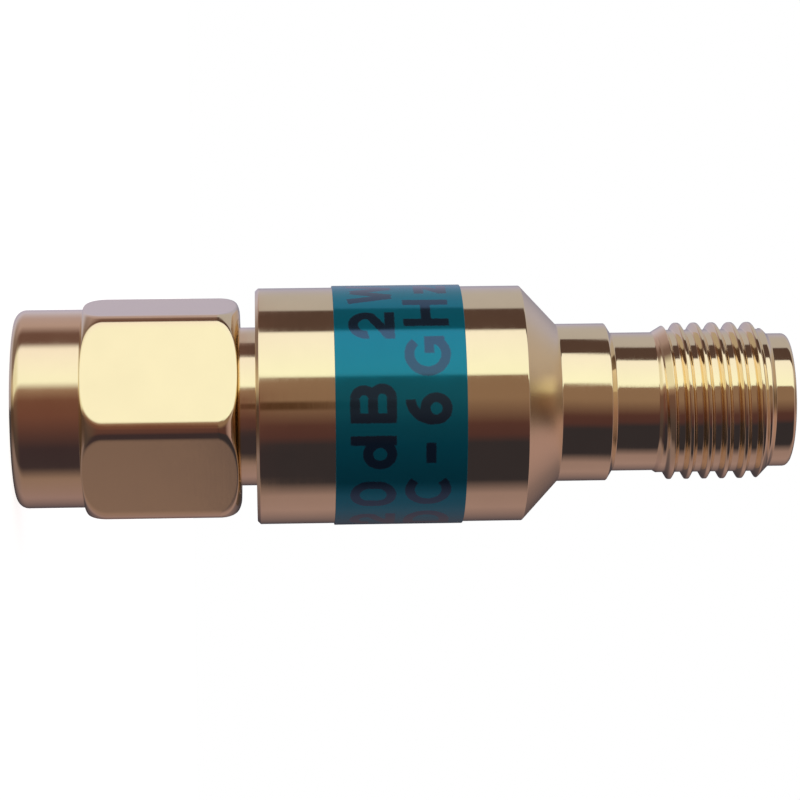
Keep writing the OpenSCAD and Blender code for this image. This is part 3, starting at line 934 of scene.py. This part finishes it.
class ATTENUATOR_OT_stage(bpy.types.Operator):
    """Stage: pale floor, soft studio light round the axis and the camera"""

    bl_idname = "attenuator.stage"
    bl_label = "Stage"

    def execute(self, context):
        stage = context.scene.attenuator_stage
        self.camera(context, stage)
        self.floor(stage)
        self.light(context, stage)
        context.scene.view_settings.view_transform = "Standard"
        return {"FINISHED"}

    def camera(self, context, stage):
        """The axis lies across the picture, with the jack at the right and -X at the top"""
        ahead = np.array([0, np.cos(stage.tilt), np.sin(stage.tilt)])
        right = np.array([0, -np.sin(stage.tilt), np.cos(stage.tilt)])
        up = np.array([-1.0, 0, 0])
        turned_right = np.cos(stage.roll) * right - np.sin(stage.roll) * up
        turned_up = np.sin(stage.roll) * right + np.cos(stage.roll) * up
        place = np.array([0, 0, stage.aim]) - stage.distance * ahead + stage.rise * turned_up
        data = bpy.data.cameras.new("camera")
        data.lens = stage.lens
        data.clip_start = MM
        camera = bpy.data.objects.new("camera", data)
        context.scene.collection.objects.link(camera)
        matrix = np.eye(4)
        matrix[:3] = np.stack([turned_right, turned_up, -ahead, place], axis=1)
        camera.matrix_world = Matrix(matrix.tolist())
        context.scene.camera = camera

    def floor(self, stage):
        """A flat square a hair below the rim, points (s, t, -hair), that can be looked through from below"""
        side = np.linspace(-stage.floor, stage.floor, 3)
        across, along = np.meshgrid(side, side)
        points = np.stack([across, along, np.full_like(across, -stage.hair)], axis=-1)
        piece = grid_object("floor", points, wrap_rows=False, wrap_columns=False)
        material = bpy.data.materials.new("pale_floor")
        material.use_nodes = True
        tree = material.node_tree
        shader = tree.nodes["Principled BSDF"]
        set_inputs(tree, shader, {
            "Base Color": (0.7, 0.7, 0.7, 1),
            "Roughness": 0.9,
            "Specular IOR Level": 0,
            "Emission Color": WHITE,
            "Emission Strength": stage.glow,
        })
        under = add_node(tree, "ShaderNodeNewGeometry").outputs["Backfacing"]
        clear = add_node(tree, "ShaderNodeBsdfTransparent").outputs[0]
        shown = add_node(tree, "ShaderNodeMixShader", {0: under, 1: shader.outputs[0], 2: clear}).outputs[0]
        tree.links.new(shown, tree.nodes["Material Output"].inputs["Surface"])
        piece.data.materials.append(material)
        piece.visible_glossy = False
        piece.visible_diffuse = False
        piece.visible_shadow = False

    def light(self, context, stage):
        """The world's colour by direction: the turn about the axis picks it from three rows of cards, the
        height goes over from one row to the next, and near the ends of the axis plain tones take over. The
        camera sees plain white behind the part."""
        world = bpy.data.worlds.new("studio")
        context.scene.world = world
        world.use_nodes = True
        tree = world.node_tree
        direction = add_node(tree, "ShaderNodeTexCoord").outputs["Generated"]
        x, y, z = add_node(tree, "ShaderNodeSeparateXYZ", {0: direction}).outputs
        around = calc(tree, "ARCTAN2", calc(tree, "MULTIPLY", x, -1.0), calc(tree, "MULTIPLY", y, -1.0))
        lean = remap(tree, z, *LEAN_RANGE, 0, LEAN)
        place = calc(tree, "ADD", calc(tree, "DIVIDE", calc(tree, "ADD", around, lean), 2 * np.pi), 0.5)
        rows = [self.cards(tree, place, row, stage.softbox) for row in (SHELL_CARDS, PLUG_CARDS, LOW_CARDS)]
        shell_row, plug_row, low_row = rows
        tone = fade(tree, z, PLUG_TO_SHELL, plug_row, shell_row)
        tone = mix_colour(tree, self.gap(tree, around, z), tone, GAP)
        tone = fade(tree, z, TO_LOW, tone, low_row)
        tone = fade(tree, z, TO_ABOVE, tone, fade(tree, x, ABOVE_SPLIT, ABOVE, ABOVE_LOWER))
        tone = fade(tree, z, TO_CROWN, tone, CROWN)
        tone = fade(tree, z, TO_BELOW, tone, fade(tree, x, BELOW_SPLIT, BELOW, BELOW_LOWER))
        seen = add_node(tree, "ShaderNodeLightPath").outputs["Is Camera Ray"]
        tree.links.new(mix_colour(tree, seen, tone, WHITE), tree.nodes["Background"].inputs["Color"])

    def gap(self, tree, around, z):
        """How much of the dark gap between the cards a direction sees"""
        inside = remap(tree, calc(tree, "ABSOLUTE", around), *GAP_SIDE, 1, 0)
        inside = calc(tree, "MULTIPLY", inside, remap(tree, z, *GAP_END, 1, 0))
        return calc(tree, "MULTIPLY", inside, remap(tree, z, *GAP_START, 0, 1))

    def cards(self, tree, place, row, strength):
        """A ramp round the axis with the cards of one row"""
        ramp = add_node(tree, "ShaderNodeValToRGB", {0: place})
        stops = []
        for start, end, *tones in row:
            stops += [(start, tones[0]), (end, tones[-1])]
        elements = ramp.color_ramp.elements
        while len(elements) < len(stops):
            elements.new(1.0)
        for element, (degrees, tone) in zip(elements, stops):
            element.position = degrees / 360 + 0.5
            element.color = tuple(channel * strength for channel in tone) + (1,)
        return ramp.outputs[0]


class ATTENUATOR_PT_sidebar(bpy.types.Panel):
    """Lists the pieces and their sizes"""

    bl_idname = "ATTENUATOR_PT_sidebar"
    bl_label = "Attenuator"
    bl_space_type = "VIEW_3D"
    bl_region_type = "UI"
    bl_category = "Attenuator"

    def draw(self, context):
        for operator in OPERATORS:
            self.layout.operator(operator.bl_idname)
        for name in GROUPS:
            group = getattr(context.scene, name)
            box = self.layout.box()
            for key in group.__annotations__:
                box.prop(group, key)


GROUPS = {
    "attenuator_nut": NutSizes,
    "attenuator_thread": ThreadSizes,
    "attenuator_shell": ShellSizes,
    "attenuator_plug": PlugSizes,
    "attenuator_label": LabelSizes,
    "attenuator_finish": Finish,
    "attenuator_stage": Stage,
}
OPERATORS = (
    ATTENUATOR_OT_stage, ATTENUATOR_OT_nut, ATTENUATOR_OT_shell, ATTENUATOR_OT_plug,
    ATTENUATOR_OT_label, ATTENUATOR_OT_inner,
)


def register():
    """Registers the property groups, the operators and the panel"""
    for name, group in GROUPS.items():
        bpy.utils.register_class(group)
        setattr(bpy.types.Scene, name, PointerProperty(type=group))
    for operator in OPERATORS:
        bpy.utils.register_class(operator)
    bpy.utils.register_class(ATTENUATOR_PT_sidebar)


def unregister():
    """Takes everything out again"""
    bpy.utils.unregister_class(ATTENUATOR_PT_sidebar)
    for operator in OPERATORS:
        bpy.utils.unregister_class(operator)
    for name, group in GROUPS.items():
        delattr(bpy.types.Scene, name)
        bpy.utils.unregister_class(group)


def main():
    register()
    bpy.ops.attenuator.stage()
    bpy.ops.attenuator.nut()
    bpy.ops.attenuator.shell()
    bpy.ops.attenuator.plug()
    bpy.ops.attenuator.label()
    bpy.ops.attenuator.inner()


if __name__ == "__main__":
    main()
